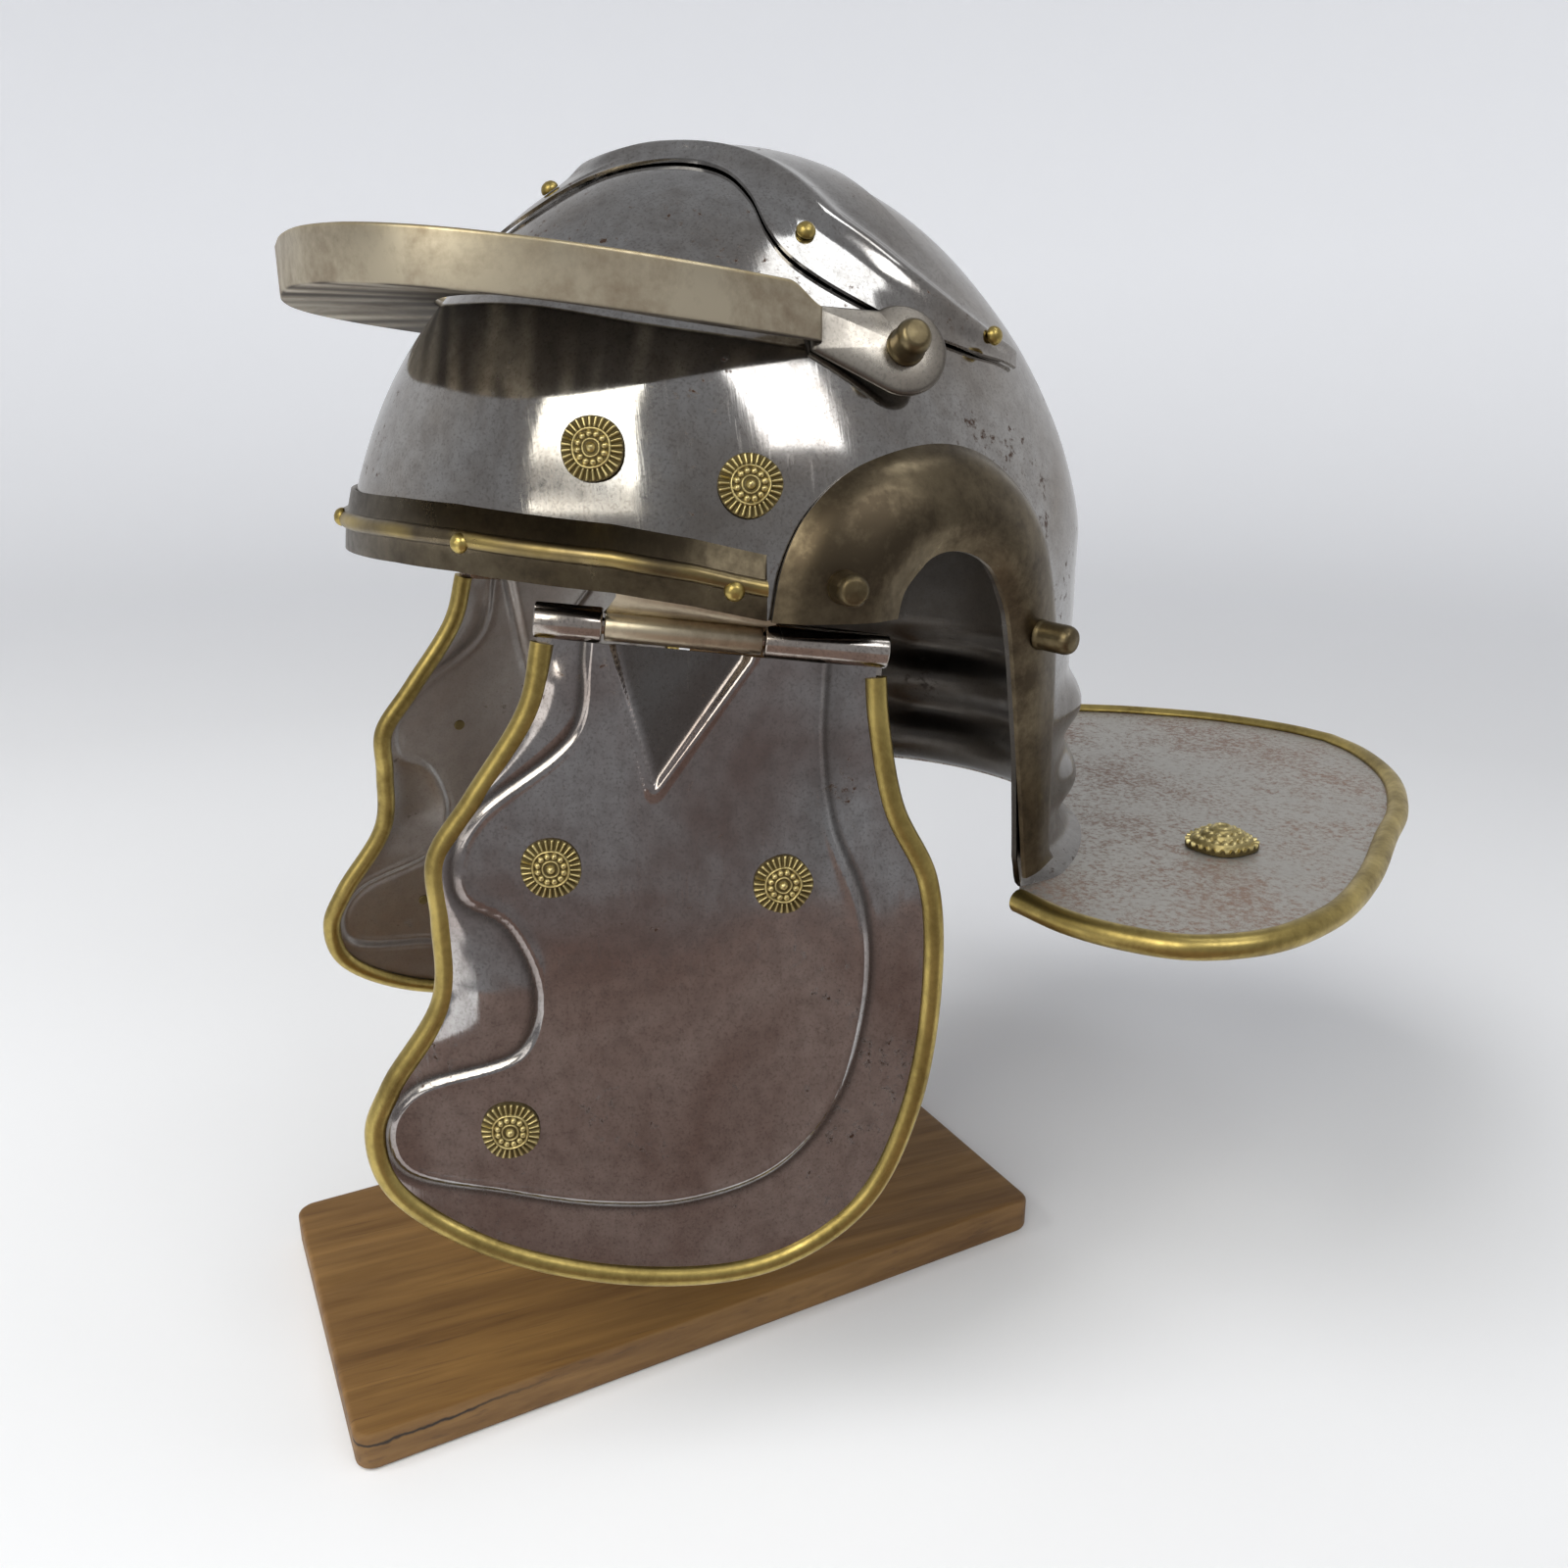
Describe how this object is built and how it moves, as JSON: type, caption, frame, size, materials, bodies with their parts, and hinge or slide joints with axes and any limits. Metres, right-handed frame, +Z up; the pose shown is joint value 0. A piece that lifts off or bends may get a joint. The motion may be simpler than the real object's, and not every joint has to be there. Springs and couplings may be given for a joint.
{
  "type": "roman legionary helmet on a wooden stand",
  "caption": "Roman legionary helmet: ribbed steel bowl with neck guard, brow guard, ear guards and hinged cheek guards edged in brass, on a plain wooden display stand.",
  "frame": {"origin": "centre of the underside of the stand's base", "axes": "+Z up, -Y the helmet's front, +X the wearer's left"},
  "size_m": [0.2784, 0.4102, 0.3568],
  "materials": {
    "steel": "polished, scratched, with light rust specks",
    "brass": "cast and rolled, dulled",
    "brown_brass": "polished, darkly tarnished",
    "wood": "oiled"
  },
  "bodies": {
    "helmet_on_stand": {"stand_base": "wood", "stand_post": "wood", "bowl": "steel", "crest_plate": "steel", "hinge_pin_left": "steel", "hinge_pin_right": "steel", "brow_guard": "brown_brass", "brow_band": "brown_brass", "ear_guard_left": "brown_brass", "ear_guard_right": "brown_brass", "neck_rim": "brass", "crest_rivet_front": "brass", "band_rivet_front": "brass", "brow_rivet_left": "brass", "crest_rivet_mid_left": "brass", "crest_rivet_tail_left": "brass", "band_rivet_side_left": "brass", "band_rivet_rear_left": "brass", "ear_post_front_left": "brass", "ear_post_rear_left": "brass", "hinge_leaf_left": "brass", "bowl_rosette_front_left": "brass", "bowl_rosette_rear_left": "brass", "neck_rosette_left": "brass", "brow_rivet_right": "brass", "crest_rivet_mid_right": "brass", "crest_rivet_tail_right": "brass", "band_rivet_side_right": "brass", "band_rivet_rear_right": "brass", "ear_post_front_right": "brass", "ear_post_rear_right": "brass", "hinge_leaf_right": "brass", "bowl_rosette_front_right": "brass", "bowl_rosette_rear_right": "brass", "neck_rosette_right": "brass"},
    "cheek_left": {"cheek_guard_left": "steel", "cheek_rim_left": "brass", "cheek_rosette_upper_front_left": "brass", "cheek_rosette_upper_rear_left": "brass", "cheek_rosette_lower_left": "brass"},
    "cheek_right": {"cheek_guard_right": "steel", "cheek_rim_right": "brass", "cheek_rosette_upper_front_right": "brass", "cheek_rosette_upper_rear_right": "brass", "cheek_rosette_lower_right": "brass"}
  },
  "joints": [
    {"name": "cheek_left_hinge", "type": "hinge", "parent": "helmet_on_stand", "child": "cheek_left", "pos_m": [0.0645, -0.0467, 0.2353], "axis": [-0.2717, -0.9561, 0.1098], "range_deg": [-20, 95]},
    {"name": "cheek_right_hinge", "type": "hinge", "parent": "helmet_on_stand", "child": "cheek_right", "pos_m": [-0.0645, -0.0467, 0.2353], "axis": [-0.2717, 0.9561, -0.1098], "range_deg": [-26, 89]}
  ]
}
